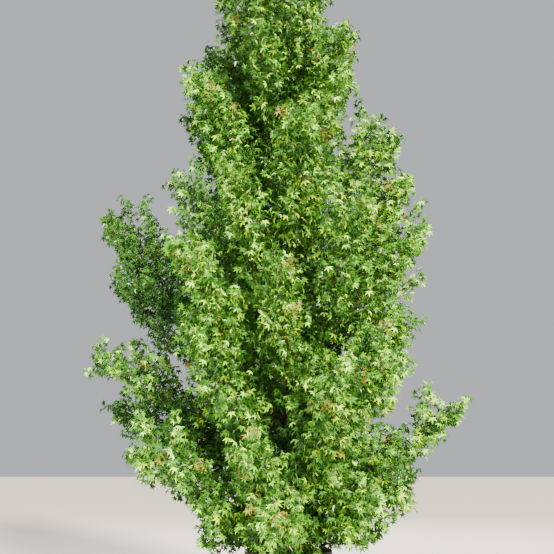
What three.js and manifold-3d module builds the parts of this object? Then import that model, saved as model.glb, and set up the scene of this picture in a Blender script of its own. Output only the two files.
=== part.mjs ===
// Potted sweetgum: a young tree about 5.3 m tall, leafy down to its foot, in a plain round pot.
// Millimetres, +Z up. The origin is the middle of the pot's flat underside.
// Azimuths are degrees anticlockwise from +X seen from above, and -Y is the side seen in the photograph.
import * as THREE from "three";
import { mergeVertices } from "three/addons/utils/BufferGeometryUtils.js";
import Module from "manifold-3d";

const wasm = await Module();
wasm.setup();

// Driving dimensions
const SEAT_GAP = 0.3;
const GOLDEN_ANGLE = Math.PI * (3 - Math.sqrt(5));
const MERGE_DISTANCE = 1e-3;
const NEAR_UPRIGHT = 0.97;

const POT = {
  height: 520,
  footRadius: 285,
  neckRadius: 335,
  rimRadius: 350,
  rimDepth: 44,
  edge: 6,
  wall: 9,
  floor: 12,
  sides: 36,
  drainHoles: 4,
  drainRadius: 15,
  drainHeight: 34,
  drainSides: 8,
};

const SOIL = { top: 466, edgeDrop: 12, moundRadius: 140 };

const TRUNK = {
  height: 4740,
  radius: 41,
  tipRadius: 6,
  taperPower: 0.85,
  flare: 30,
  flareHeight: 130,
  rootLobes: 5,
  rootLobeDepth: 0.16,
  lean: [-130, 20],
  sway: 26,
  swayDepth: -0.6,
  sides: 10,
  runs: 15,
  crowding: 1.5,
};

const LEADER = { length: 150, seed: 300 };

// Half-width of the leafy outline between its lobes, as pairs of height above the soil and radius.
const SPREAD = [
  [0, 760],
  [450, 940],
  [900, 1160],
  [1400, 1200],
  [2000, 1200],
  [2600, 1100],
  [3200, 940],
  [3800, 800],
  [4400, 660],
  [4900, 470],
  [5300, 60],
];

// Boughs that stand out of the outline, by the height of their root and of their leafy end above
// the soil, and by the azimuth and the distance of that end from the trunk.
const LOBES = {
  foot_right: { root: 120, tip: 460, azimuth: -36, reach: 980 },
  low_right: { root: 330, tip: 1020, azimuth: -12, reach: 1360 },
  middle_right: { root: 980, tip: 1700, azimuth: 14, reach: 980 },
  high_right: { root: 1560, tip: 2420, azimuth: -12, reach: 1060 },
  upper_right: { root: 2300, tip: 3400, azimuth: 8, reach: 900 },
  shoot_right: { root: 3200, tip: 4340, azimuth: -18, reach: 620 },
  foot_left: { root: 210, tip: 660, azimuth: 207, reach: 1220 },
  low_left: { root: 560, tip: 1060, azimuth: 170, reach: 1400 },
  stray_left: { root: 880, tip: 1420, azimuth: 192, reach: 1500 },
  inner_left: { root: 1280, tip: 2080, azimuth: 172, reach: 1400 },
  shaded_left: { root: 1540, tip: 2700, azimuth: 168, reach: 1580 },
  middle_left: { root: 1930, tip: 2900, azimuth: 197, reach: 840 },
  high_left: { root: 2580, tip: 3580, azimuth: 184, reach: 720 },
  shoot_left: { root: 3010, tip: 4260, azimuth: 172, reach: 640 },
};
const LOBE_SEED = 200;

// The other boughs rise round the trunk in a spiral that stays clear of the two sides, where the
// boughs above stand. Their tips are spread evenly over the height.
const SPIRAL = {
  count: 14,
  lowestTip: 260,
  highestTip: 4880,
  firstAzimuth: 262,
  sideClear: 20,
  sideReach: 0.9,
  frontReach: 1.22,
  reachJitter: 0.12,
  lowRise: 26,
  highRise: 60,
  lowestRoot: 110,
  rootStep: 60,
  seed: 7,
  branchSeed: 100,
};

const BRANCH = {
  endSpray: 400,
  sag: 0.42,
  bend: 0.62,
  baseRadius: 7,
  radiusPerLength: 0.0085,
  tipRadius: 4.5,
  boughShare: 0.34,
  sides: 5,
  runs: 2,
  stemSides: 3,
  stemRuns: 3,
};

const TWIG = {
  perMass: 3,
  start: 0.45,
  length: 430,
  lengthSpread: [0.82, 1.18],
  endShare: 0.5,
  shortenPower: 1.5,
  rollJitter: 0.7,
  rootAngle: 66,
  endAngle: 36,
  lift: 0.35,
  rootRadius: 8.5,
  tipRadius: 5,
  sides: 3,
  runs: 1,
};

// One blade stands for a spray of leaves. Each lobe is an angle from the midrib and a share of the length.
const BLADE = {
  length: 420,
  thickness: 9,
  heart: 0.32,
  droop: 0.22,
  lobes: [
    [-104, 0.55],
    [-47, 0.72],
    [0, 0.74],
    [47, 0.72],
    [104, 0.55],
  ],
  sinus: 0.32,
  neck: [0.2, 0.03],
  sunk: 2,
  onTwig: [0.98, 0.74, 0.5],
  onStem: [0.98, 0.8, 0.6, 0.4, 0.2, 0.06],
  follow: 0.8,
  followPower: 3,
  outward: 0.4,
  hang: [0.25, 0.85],
  fan: 2.2,
  turn: 2.6,
  tries: 24,
  largest: 1.1,
  smallest: 0.75,
};

const ROOM = { overlap: 110, gap: 2.5, soilGap: 25, sitesPerStem: 7 };

const COLOUR = {
  pot: "#2d2e30",
  soil: "#3a2a1e",
  bark: "#6f6254",
  leaf: "#4f9a2b",
};

// Small helpers
const radians = THREE.MathUtils.degToRad;
const degrees = THREE.MathUtils.radToDeg;
const lerp = THREE.MathUtils.lerp;
const point = (x, y, z) => new THREE.Vector3(x, y, z);
const UP = point(0, 0, 1);

// A seeded generator, so that every build grows the same tree.
function randomFrom(seed) {
  let state = seed;
  return () => {
    state = (state + 0x6d2b79f5) | 0;
    let mixed = Math.imul(state ^ (state >>> 15), 1 | state);
    mixed = (mixed + Math.imul(mixed ^ (mixed >>> 7), 61 | mixed)) ^ mixed;
    return ((mixed ^ (mixed >>> 14)) >>> 0) / 2 ** 32;
  };
}

function profileAt(pairs, at) {
  const next = Math.max(1, pairs.findIndex(([height]) => height >= at));
  const [lowHeight, lowValue] = pairs[next - 1];
  const [highHeight, highValue] = pairs[next];
  return lerp(lowValue, highValue, (at - lowHeight) / (highHeight - lowHeight));
}

function solidOf(geometry) {
  const bare = geometry.index ? geometry.toNonIndexed() : geometry.clone();
  bare.deleteAttribute("normal");
  bare.deleteAttribute("uv");
  const merged = mergeVertices(bare, MERGE_DISTANCE);
  const triVerts = new Uint32Array(merged.index.array);
  const vertProperties = merged.attributes.position.array;
  return new wasm.Manifold(new wasm.Mesh({ numProp: 3, vertProperties, triVerts }));
}

function geometryOf(solid) {
  const mesh = solid.getMesh();
  const positions = new Float32Array(mesh.numVert * 3);
  for (let i = 0; i < mesh.numVert; i++) {
    const start = i * mesh.numProp;
    positions.set(mesh.vertProperties.subarray(start, start + 3), i * 3);
  }
  const geometry = new THREE.BufferGeometry();
  geometry.setAttribute("position", new THREE.BufferAttribute(positions, 3));
  geometry.setIndex(new THREE.BufferAttribute(new Uint32Array(mesh.triVerts), 1));
  geometry.computeVertexNormals();
  return geometry;
}

function largestBody(solid) {
  return solid.decompose().reduce((a, b) => (b.volume() > a.volume() ? b : a));
}

function turned(profile, sides) {
  const points = profile.map(([radius, height]) => new THREE.Vector2(radius, height));
  return solidOf(new THREE.LatheGeometry(points, sides).rotateX(Math.PI / 2));
}

// Two directions square to a limb's line, for laying out its section.
function squareTo(direction) {
  const reference = Math.abs(direction.z) > NEAR_UPRIGHT ? point(1, 0, 0) : UP;
  const across = reference.clone().cross(direction).normalize();
  return [across, direction.clone().cross(across).normalize()];
}

// A tapering limb along part of a curve, made of straight runs.
class Limb {
  constructor(curve, from, to, radiusAt, sides, runs) {
    Object.assign(this, { curve, from, to, radiusAt, sides, runs });
  }

  shareOfCurve(share) {
    return lerp(this.from, this.to, share);
  }

  pointAt(share) {
    const run = Math.min(Math.floor(share * this.runs), this.runs - 1);
    const start = this.curve.getPoint(this.shareOfCurve(run / this.runs));
    const end = this.curve.getPoint(this.shareOfCurve((run + 1) / this.runs));
    return start.lerp(end, share * this.runs - run);
  }

  directionAt(share) {
    return this.curve.getTangent(this.shareOfCurve(share));
  }

  points(count) {
    return Array.from({ length: count }, (_, i) => this.pointAt(i / (count - 1)));
  }

  solid() {
    const tube = new THREE.CylinderGeometry(1, 1, 1, this.sides, this.runs);
    const corners = tube.attributes.position;
    for (let i = 0; i < corners.count; i++) {
      const share = corners.getY(i) + 0.5;
      const [across, beside] = squareTo(this.directionAt(share));
      const turn = Math.atan2(corners.getZ(i), corners.getX(i));
      const onAxis = Math.hypot(corners.getX(i), corners.getZ(i)) < 0.5;
      const radius = onAxis ? 0 : this.radiusAt(this.shareOfCurve(share), turn);
      const centre = this.curve.getPoint(this.shareOfCurve(share));
      centre.addScaledVector(across, radius * Math.cos(turn));
      centre.addScaledVector(beside, -radius * Math.sin(turn));
      corners.setXYZ(i, centre.x, centre.y, centre.z);
    }
    return solidOf(tube);
  }
}

// Pot and soil
const potRadiusAt = (height) => lerp(POT.footRadius, POT.neckRadius, height / POT.height);

function makePot() {
  const { height, footRadius, rimRadius, rimDepth, edge, wall, floor, sides } = POT;
  const neck = height - rimDepth;
  const shell = turned(
    [
      [0, 0],
      [footRadius - edge, 0],
      [footRadius, edge],
      [potRadiusAt(neck), neck],
      [rimRadius, neck + edge],
      [rimRadius, height - edge],
      [rimRadius - edge, height],
      [potRadiusAt(height) - wall, height],
      [potRadiusAt(floor) - wall, floor],
      [0, floor],
    ],
    sides,
  );
  const drill = new THREE.CylinderGeometry(POT.drainRadius, POT.drainRadius, 4 * wall, POT.drainSides);
  drill.rotateZ(Math.PI / 2).translate(footRadius - wall / 2, 0, POT.drainHeight);
  const holes = [];
  for (let i = 0; i < POT.drainHoles; i++) {
    const turn = ((i + 0.5) / POT.drainHoles) * 2 * Math.PI;
    holes.push(solidOf(drill.clone().rotateZ(turn)));
  }
  return shell.subtract(wasm.Manifold.union(holes));
}

function makeSoil() {
  const inside = (height) => potRadiusAt(height) - POT.wall - 2 * SEAT_GAP;
  const bottom = POT.floor + SEAT_GAP;
  const edgeTop = SOIL.top - SOIL.edgeDrop;
  return turned(
    [
      [0, bottom],
      [inside(bottom), bottom],
      [inside(edgeTop), edgeTop],
      [SOIL.moundRadius, SOIL.top],
      [0, SOIL.top],
    ],
    POT.sides,
  );
}

// Trunk
class TrunkLine extends THREE.Curve {
  getPoint(share) {
    const [leanX, leanY] = TRUNK.lean;
    const swing = TRUNK.sway * Math.sin(2 * Math.PI * share);
    const height = SOIL.top + SEAT_GAP + share * TRUNK.height;
    return point(leanX * share + swing, leanY * share + swing * TRUNK.swayDepth, height);
  }
  getTangent() {
    return UP.clone();
  }
}

// The rings of the trunk's solid crowd together at the flare.
class CrowdedTrunkLine extends TrunkLine {
  getPoint(share) {
    return super.getPoint(share ** TRUNK.crowding);
  }
}

const trunkLine = new TrunkLine();
const trunkAt = (height) => trunkLine.getPoint(height / TRUNK.height);

function trunkRadius(share, turn) {
  const taper = TRUNK.tipRadius + (TRUNK.radius - TRUNK.tipRadius) * (1 - share) ** TRUNK.taperPower;
  const nearGround = Math.exp((-share * TRUNK.height) / TRUNK.flareHeight);
  const lobes = 1 + TRUNK.rootLobeDepth * nearGround * Math.cos(TRUNK.rootLobes * turn);
  return (taper + TRUNK.flare * nearGround) * lobes;
}

function makeTrunk(extra) {
  const radiusAt = (share, turn) => trunkRadius(share ** TRUNK.crowding, turn) + extra;
  return new Limb(new CrowdedTrunkLine(), 0, 1, radiusAt, TRUNK.sides, TRUNK.runs).solid();
}

// Branches: each is one curve, its inner part the bough and its outer part the stem of a mass of foliage.
function withStem(name, curve, from, radiusAt, seed) {
  const step = 0.01;
  const gapShare = (step * SEAT_GAP) / curve.getPoint(from).distanceTo(curve.getPoint(from + step));
  const stem = new Limb(curve, from + gapShare, 1, radiusAt, BRANCH.stemSides, BRANCH.stemRuns);
  return { name, curve, from, radiusAt, stem, sites: stem.points(ROOM.sitesPerStem), random: randomFrom(seed) };
}

function branch(name, rootHeight, tipHeight, azimuth, reach, seed) {
  const turn = radians(azimuth);
  const outward = point(Math.cos(turn), Math.sin(turn), 0);
  const root = trunkAt(rootHeight);
  const leafyEnd = root.clone().addScaledVector(outward, reach);
  leafyEnd.z = SOIL.top + tipHeight;
  const length = root.distanceTo(leafyEnd) - BRANCH.endSpray;
  const tip = root.clone().lerp(leafyEnd, length / (length + BRANCH.endSpray));
  const control = root.clone().lerp(tip, BRANCH.bend);
  control.z = lerp(root.z, tip.z, BRANCH.sag);
  const curve = new THREE.QuadraticBezierCurve3(root, control, tip);
  const rootRadius = BRANCH.baseRadius + BRANCH.radiusPerLength * length;
  const radiusAt = (share) => lerp(rootRadius, BRANCH.tipRadius, share);
  return withStem(name, curve, BRANCH.boughShare, radiusAt, seed);
}

function spiralBranches() {
  const random = randomFrom(SPIRAL.seed);
  return Array.from({ length: SPIRAL.count }, (_, i) => {
    const share = i / (SPIRAL.count - 1);
    const tipHeight = lerp(SPIRAL.lowestTip, SPIRAL.highestTip, share);
    const turn = (SPIRAL.firstAzimuth + i * degrees(GOLDEN_ANGLE)) % 360;
    const side = turn < 180 ? 0 : 180;
    const azimuth = side + lerp(SPIRAL.sideClear, 180 - SPIRAL.sideClear, (turn - side) / 180);
    const fromSide = Math.abs(Math.sin(radians(azimuth)));
    const fullReach = profileAt(SPREAD, tipHeight) * lerp(SPIRAL.sideReach, SPIRAL.frontReach, fromSide);
    const reach = fullReach * (1 - SPIRAL.reachJitter * random());
    const rise = reach * Math.tan(radians(lerp(SPIRAL.lowRise, SPIRAL.highRise, share)));
    const rootHeight = Math.max(tipHeight - rise, SPIRAL.lowestRoot + SPIRAL.rootStep * i);
    const name = String(i + 1).padStart(2, "0");
    return branch(name, rootHeight, tipHeight, azimuth, reach, SPIRAL.branchSeed + i);
  });
}

function lobeBranches() {
  return Object.entries(LOBES).map(([name, at], i) =>
    branch(name, at.root, at.tip, at.azimuth, at.reach, LOBE_SEED + i),
  );
}

// The leader carries the top mass on from the trunk's tip.
function leaderBranch() {
  const root = trunkLine.getPoint(1);
  const tip = root.clone().addScaledVector(UP, LEADER.length);
  const curve = new THREE.QuadraticBezierCurve3(root, root.clone().lerp(tip, 0.5), tip);
  const radiusAt = (share) => lerp(TRUNK.tipRadius, BRANCH.tipRadius, share);
  return withStem("top", curve, 0, radiusAt, LEADER.seed);
}

// Foliage: the twigs of a mass leave its stem by the golden angle and turn upwards.
function twigsOn(stem, random) {
  const radiusAt = (share) => lerp(TWIG.rootRadius, TWIG.tipRadius, share);
  return Array.from({ length: TWIG.perMass }, (_, i) => {
    const share = (i + TWIG.start) / TWIG.perMass;
    const root = stem.pointAt(share);
    const along = stem.directionAt(share);
    const [across, beside] = squareTo(along);
    const roll = i * GOLDEN_ANGLE + random() * TWIG.rollJitter;
    const open = radians(lerp(TWIG.rootAngle, TWIG.endAngle, share));
    const shortened = lerp(1, TWIG.endShare, share ** TWIG.shortenPower);
    const length = TWIG.length * shortened * lerp(...TWIG.lengthSpread, random());
    const aim = along.clone().multiplyScalar(Math.cos(open));
    aim.addScaledVector(across, Math.sin(open) * Math.cos(roll));
    aim.addScaledVector(beside, Math.sin(open) * Math.sin(roll));
    const control = root.clone().addScaledVector(aim, length * 0.5);
    const tip = root.clone().addScaledVector(aim, length * (1 - TWIG.lift / 3));
    tip.z += length * TWIG.lift;
    const curve = new THREE.QuadraticBezierCurve3(root, control, tip);
    return new Limb(curve, 0, 1, radiusAt, TWIG.sides, TWIG.runs);
  });
}

// A five-lobed blade on a short stalk, as a thin star that is thickest at its heart, with its root
// at the origin and its midrib along +X. The first two corners are the heart's upper and lower sides.
function bladeOutline() {
  const { length, thickness, heart, droop, lobes, sinus, neck } = BLADE;
  const rim = [[0, 0], [neck[0], -neck[1]]];
  lobes.forEach(([angle, reach], i) => {
    const tip = radians(angle);
    rim.push([heart + reach * Math.cos(tip), reach * Math.sin(tip)]);
    if (i === lobes.length - 1) return;
    const gap = radians((angle + lobes[i + 1][0]) / 2);
    rim.push([heart + sinus * Math.cos(gap), sinus * Math.sin(gap)]);
  });
  rim.push(neck);
  const drooped = rim.map(([x, y]) => {
    return point(x, y, droop * (heart ** 2 - (x - heart) ** 2 - y ** 2)).multiplyScalar(length);
  });
  const middle = [1, -1].map((side) =>
    point(heart * length, 0, droop * heart ** 2 * length + (side * thickness) / 2),
  );
  return [...middle, ...drooped];
}

const BLADE_CORNERS = bladeOutline();

function makeBlade(root, along, facing, scale) {
  const sideways = facing.clone().cross(along).normalize();
  const upward = along.clone().cross(sideways);
  const turn = new THREE.Matrix4().makeBasis(along, sideways, upward).scale(point(scale, scale, 1));
  const corners = BLADE_CORNERS.map((corner) => corner.clone().applyMatrix4(turn).add(root));
  const rimCount = corners.length - 2;
  const faces = [];
  for (let i = 0; i < rimCount; i++) {
    const here = 2 + i;
    const next = 2 + ((i + 1) % rimCount);
    faces.push(0, here, next, 1, next, here);
  }
  const geometry = new THREE.BufferGeometry().setFromPoints(corners);
  geometry.setIndex(faces);
  return { solid: solidOf(geometry), corners };
}

// A blade hangs outwards and down from its twig, with its root sunk into the wood.
function bladeOn(wood, share, scale, random) {
  const spot = wood.pointAt(share);
  const outward = point(spot.x, spot.y, 0).normalize();
  const sideways = UP.clone().cross(outward);
  const along = wood.directionAt(share).multiplyScalar(BLADE.follow * share ** BLADE.followPower);
  along.addScaledVector(outward, BLADE.outward);
  along.addScaledVector(sideways, BLADE.fan * (random() - 0.5));
  along.z -= lerp(...BLADE.hang, random());
  along.normalize();
  const facing = outward.clone().addScaledVector(UP, random());
  facing.addScaledVector(sideways, BLADE.turn * (random() - 0.5));
  return makeBlade(spot.addScaledVector(along, -BLADE.sunk), along, facing, scale);
}

// A piece keeps the solid's bounding ball beside it, so that only near neighbours are measured.
function pieceOf(solid) {
  const { min, max } = solid.boundingBox();
  const low = point(...min);
  const high = point(...max);
  return { solid, middle: low.clone().lerp(high, 0.5), reach: low.distanceTo(high) / 2 };
}

function staysClear(piece, others, gap) {
  return others.every((other) => {
    const far = piece.middle.distanceTo(other.middle) > piece.reach + other.reach + gap;
    return far || piece.solid.minGap(other.solid, gap + 1) > gap;
  });
}

const nearest = (spot, sites) => Math.min(...sites.map((site) => site.distanceTo(spot)));

// Each mass keeps to the space that lies nearest to its own stem, give or take a small overlap.
function staysInRoom(corners, owner, owners) {
  return corners.every((spot) => {
    const own = nearest(spot, owner.sites) - ROOM.overlap;
    return spot.z > SOIL.top + ROOM.soilGap && owners.every((other) => nearest(spot, other.sites) > own);
  });
}

// The stem and twigs of a mass, and the places on them where blades may stand.
function growWood(owner, owners, limbs) {
  const others = owners.filter((other) => other !== owner);
  const foreign = [...limbs, ...others.flatMap((other) => other.wood)];
  owner.places = BLADE.onStem.map((share) => ({ line: owner.stem, piece: owner.wood[0], share }));
  for (const twig of twigsOn(owner.stem, owner.random)) {
    const piece = pieceOf(twig.solid());
    if (!staysInRoom(twig.points(4), owner, others)) continue;
    if (!staysClear(piece, foreign, ROOM.gap)) continue;
    owner.wood.push(piece);
    owner.places.push(...BLADE.onTwig.map((share) => ({ line: twig, piece, share })));
  }
}

// Each place is tried with one turn after another, a little smaller each time, until a blade fits
// there that touches nothing but the wood it stands on.
function growBlade(owner, place, owners, limbs) {
  const others = owners.filter((other) => other !== owner);
  const grown = owners.flatMap((each) => [...each.wood, ...each.blades]);
  const foreign = [...limbs, ...grown].filter((piece) => piece !== place.piece);
  for (let i = 0; i < BLADE.tries; i++) {
    const scale = lerp(BLADE.largest, BLADE.smallest, i / (BLADE.tries - 1));
    const { solid, corners } = bladeOn(place.line, place.share, scale, owner.random);
    const piece = pieceOf(solid);
    if (!staysInRoom(corners, owner, others)) continue;
    if (!staysClear(piece, foreign, ROOM.gap)) continue;
    owner.blades.push(piece);
    return;
  }
}

function growMasses(owners, limbs) {
  for (const owner of owners) {
    owner.wood = [pieceOf(owner.stem.solid())];
    owner.blades = [];
  }
  for (const owner of owners) {
    growWood(owner, owners, limbs);
  }
  const mostPlaces = Math.max(...owners.map((owner) => owner.places.length));
  for (let i = 0; i < mostPlaces; i++) {
    for (const owner of owners) {
      if (i < owner.places.length) growBlade(owner, owner.places[i], owners, limbs);
    }
  }
}

// Assembly
const tree = new THREE.Group();

function addNode(name, solid, colour, roughness) {
  const material = new THREE.MeshStandardMaterial({ color: colour, roughness, metalness: 0 });
  const mesh = new THREE.Mesh(geometryOf(solid), material);
  mesh.name = name;
  tree.add(mesh);
}

const trunk = makeTrunk(0);
addNode("pot", makePot(), COLOUR.pot, 0.55);
addNode("soil", makeSoil(), COLOUR.soil, 0.95);
addNode("trunk", trunk, COLOUR.bark, 0.85);

const branches = [...spiralBranches(), ...lobeBranches()];
const trunkWithGap = makeTrunk(SEAT_GAP);
const limbs = [pieceOf(trunk)];
for (const { name, curve, from, radiusAt } of branches) {
  const whole = new Limb(curve, 0, from, radiusAt, BRANCH.sides, BRANCH.runs).solid();
  const bough = largestBody(whole.subtract(trunkWithGap));
  limbs.push(pieceOf(bough));
  addNode(`bough_${name}`, bough, COLOUR.bark, 0.85);
}

const owners = [...branches, leaderBranch()];
growMasses(owners, limbs);
for (const { name, wood, blades } of owners) {
  const pieces = [...wood, ...blades].map((piece) => piece.solid);
  addNode(`foliage_${name}`, largestBody(wasm.Manifold.union(pieces)), COLOUR.leaf, 0.6);
}

export default tree;
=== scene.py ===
"""Dresses the measured frame of a young sweetgum in a nursery pot: bark, twigs, leaves, pot and mix.

Metres, +Z up. The origin is the middle of the pot's flat underside, and -Y is the side seen in the
photograph. Azimuths are degrees anticlockwise from +X seen from above.
"""

import math

import bpy
import numpy as np
from mathutils import Matrix, Vector


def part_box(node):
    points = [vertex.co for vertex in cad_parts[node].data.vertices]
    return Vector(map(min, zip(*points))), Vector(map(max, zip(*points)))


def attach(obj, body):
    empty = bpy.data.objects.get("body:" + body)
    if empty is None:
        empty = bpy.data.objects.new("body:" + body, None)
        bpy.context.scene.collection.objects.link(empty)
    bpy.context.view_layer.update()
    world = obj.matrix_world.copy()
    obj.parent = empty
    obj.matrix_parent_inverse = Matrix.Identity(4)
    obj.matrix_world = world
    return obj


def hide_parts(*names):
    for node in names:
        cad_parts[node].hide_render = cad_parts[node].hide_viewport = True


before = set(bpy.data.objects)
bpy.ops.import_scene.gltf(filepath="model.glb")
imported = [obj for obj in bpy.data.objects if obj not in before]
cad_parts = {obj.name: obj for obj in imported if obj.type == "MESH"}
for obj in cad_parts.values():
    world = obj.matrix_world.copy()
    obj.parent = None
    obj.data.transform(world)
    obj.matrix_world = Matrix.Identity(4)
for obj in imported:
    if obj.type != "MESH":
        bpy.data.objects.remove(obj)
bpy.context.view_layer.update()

bl_info = {
    "name": "Potted Sweetgum",
    "version": (1, 0, 0),
    "blender": (4, 5, 0),
    "location": "3D View > Sidebar > Sweetgum",
    "description": "Grows a young sweetgum and its nursery pot around their measured frame",
    "category": "Add Mesh",
}

UP = Vector((0, 0, 1))
GOLDEN_ANGLE = math.pi * (3 - math.sqrt(5))
NEAR_UPRIGHT = 0.97

# The growth rule's sizes, as in the part's source, in metres.
SEAT_GAP = 0.0003
SOIL_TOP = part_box("soil")[1].z
POT_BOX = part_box("pot")
TRUNK_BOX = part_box("trunk")

TRUNK = {
    "height": TRUNK_BOX[1].z - TRUNK_BOX[0].z,
    "radius": 0.041,
    "tip_radius": 0.006,
    "taper_power": 0.85,
    "flare": 0.030,
    "flare_height": 0.130,
    "root_lobes": 5,
    "root_lobe_depth": 0.16,
    "lean": (-0.130, 0.020),
    "sway": 0.026,
    "sway_depth": -0.6,
}

# How far the crown reaches from the trunk at heights over the soil.
SPREAD = (
    (0.0, 0.76),
    (0.45, 0.94),
    (0.9, 1.16),
    (1.4, 1.20),
    (2.0, 1.20),
    (2.6, 1.10),
    (3.2, 0.94),
    (3.8, 0.80),
    (4.4, 0.66),
    (4.9, 0.47),
    (5.3, 0.06),
)

# Boughs that stand out of the outline: height of the root and of the leafy end over the soil,
# azimuth, distance of that end from the trunk, how long its side shoots are beside others, and
# how many shades lighter its leaves are, as painted light, less than none as painted shade where
# the bough hangs in shade.
LOBES = {
    "foot_right": (0.12, 0.46, -36, 0.98, 1.0, 0),
    "low_right": (0.33, 1.02, -12, 1.36, 0.8, 0),
    "middle_right": (0.98, 1.70, 14, 0.98, 1.0, 0.2),
    "high_right": (1.56, 2.42, -12, 1.06, 1.3, 0.2),
    "upper_right": (2.30, 3.40, 8, 0.90, 1.3, 0.2),
    "shoot_right": (3.20, 4.34, -18, 0.62, 0.85, -0.2),
    "foot_left": (0.21, 0.66, 207, 1.22, 1.0, 0),
    "low_left": (0.56, 1.06, 170, 1.40, 1.1, -1.4),
    "stray_left": (0.88, 1.42, 192, 1.50, 0.8, -0.4),
    "inner_left": (1.28, 2.08, 172, 1.40, 1.2, -2.6),
    "shaded_left": (1.54, 2.70, 168, 1.58, 1.15, -2.6),
    "middle_left": (1.93, 2.90, 197, 0.84, 1.0, -0.5),
    "high_left": (2.58, 3.58, 184, 0.72, 0.85, -0.9),
    "shoot_left": (3.01, 4.26, 172, 0.64, 0.65, -1.2),
}
LOBE_SEED = 200

# Lighter boughs that the frame leaves to the scene: one where the outline would be notched, and
# the upright ones beside the leader.
LIGHT_LOBES = {
    "edge_right": (1.90, 3.02, 2, 1.10, 0.75, 0.2),
    "top_left": (3.85, 4.98, 186, 0.47, 0.6, -0.4),
    "top_right": (3.70, 5.02, -6, 0.47, 0.6, -0.2),
    "top_front": (4.00, 5.12, 262, 0.34, 0.5, -0.2),
    "top_back": (4.10, 5.06, 84, 0.38, 0.5, -0.2),
}
LIGHT_LOBE_SEED = 700

# Boughs that rise round the trunk in a spiral, with azimuths that keep side_clear degrees from the
# two sides, where the boughs above stand. Reaches are shares of the spread, towards the sides and
# towards the front and the back, and rises are degrees, at the foot and at the top.
SPIRAL = {
    "count": 14,
    "lowest_tip": 0.26,
    "highest_tip": 4.88,
    "first_azimuth": 262,
    "side_clear": 20,
    "side_reach": 0.9,
    "front_reach": 1.22,
    "reach_jitter": 0.12,
    "low_rise": 26,
    "high_rise": 60,
    "lowest_root": 0.11,
    "root_step": 0.06,
    "fullness": 0.86,
    # How many shades lighter the leaves are at the foot and at the top: painted light low down and
    # painted shade high up.
    "tone": (0.4, -0.5),
    "seed": 7,
    "branch_seed": 100,
}

# Lighter boughs between those of the frame, on the front and the back, where those stand apart.
INFILL = {
    **SPIRAL,
    "count": 28,
    "lowest_tip": 0.36,
    "highest_tip": 4.75,
    "first_azimuth": 330,
    "side_clear": 34,
    "front_reach": 1.14,
    "root_step": 0.03,
    "fullness": 0.66,
    "seed": 11,
    "branch_seed": 500,
}

# Short low boughs that hide the pot's rim.
SKIRT = {
    **SPIRAL,
    "count": 9,
    "lowest_tip": 0.10,
    "highest_tip": 0.28,
    "first_azimuth": 200,
    "side_clear": 6,
    "side_reach": 0.8,
    "front_reach": 1.0,
    "lowest_root": 0.08,
    "root_step": 0.012,
    "fullness": 0.55,
    # Their leaves are a little darker, painted shade low under the crown.
    "tone": (-0.3, -0.3),
    "seed": 21,
    "branch_seed": 600,
}

# Every bough: the stem at its leafy end, how it bends, and its radii.
BRANCH = {
    "end_spray": 0.40,
    "sag": 0.42,
    "bend": 0.62,
    "base_radius": 0.007,
    "radius_per_length": 0.0085,
    "tip_radius": 0.0045,
    "shoot_radius": 0.0016,
    "bough_points": 32,
    "stem_points": 10,
}

LEADER = {"length": 0.55, "fullness": 0.85, "points": 12, "seed": 300}

# Side shoots on the boughs, finer shoots on those, and side shoots on the trunk itself, all by one
# rule. Spacing is along the parent, and lengths are pairs of share along the parent and share of
# the full length. Pairs of spread are the least and the most that a length is dealt.
SIDE_SHOOTS = {
    "spacing": 0.060,
    "from": 0.14,
    "length": 0.54,
    "lengths": ((0, 0.5), (0.35, 1), (0.7, 0.85), (1, 0.35)),
    "spread": (0.5, 1.22),
    "root_angle": 54,
    "end_angle": 26,
    "lift": 0.42,
    "root_radius": 0.0030,
    "tip_radius": 0.0011,
    "sides": 4,
    "points": 6,
}
SUB_SHOOTS = {
    "spacing": 0.056,
    "from": 0.1,
    "length": 0.19,
    "lengths": ((0, 1), (1, 0.45)),
    "spread": (0.6, 1.2),
    "root_angle": 58,
    "end_angle": 36,
    "lift": 0.22,
    "root_radius": 0.0014,
    "tip_radius": 0.0008,
    "sides": 3,
    "points": 3,
}
TRUNK_SHOOTS = {
    **SIDE_SHOOTS,
    "spacing": 0.05,
    "from": 0.006,
    "length": 0.52,
    "lengths": ((0, 1.2), (0.08, 1), (0.3, 1), (0.7, 0.8), (1, 0.5)),
    "spread": (0.6, 1.25),
    "root_angle": 72,
    "end_angle": 40,
    "lift": 0.3,
    "foot_droop": (0.10, 0.62),
    "trunk_points": 40,
    "seed": 400,
}
ROLL_JITTER = 0.7
# How far shoots keep over the mix, inside the pot's rim and a little beyond it, and elsewhere over
# the ground.
OVER_MIX = 0.06
BEYOND_RIM = 0.04
OVER_GROUND = 0.44

# A leaf: a star of five lobes round the end of its stalk, each an angle from the midrib and a
# share of the length. Between lobes it lies a little higher, and it curls down towards its tips.
LEAF = {
    "lobes": ((-108, 0.72), (-54, 0.95), (0, 1.0), (54, 0.95), (108, 0.72)),
    "sinus": 0.38,
    "notch": (150, 0.2),
    "sinus_lift": 0.11,
    "notch_lift": 0.055,
    "tip_drop": -0.03,
    "curl": 0.28,
}
STALK_RADIUS = 0.0008

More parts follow.
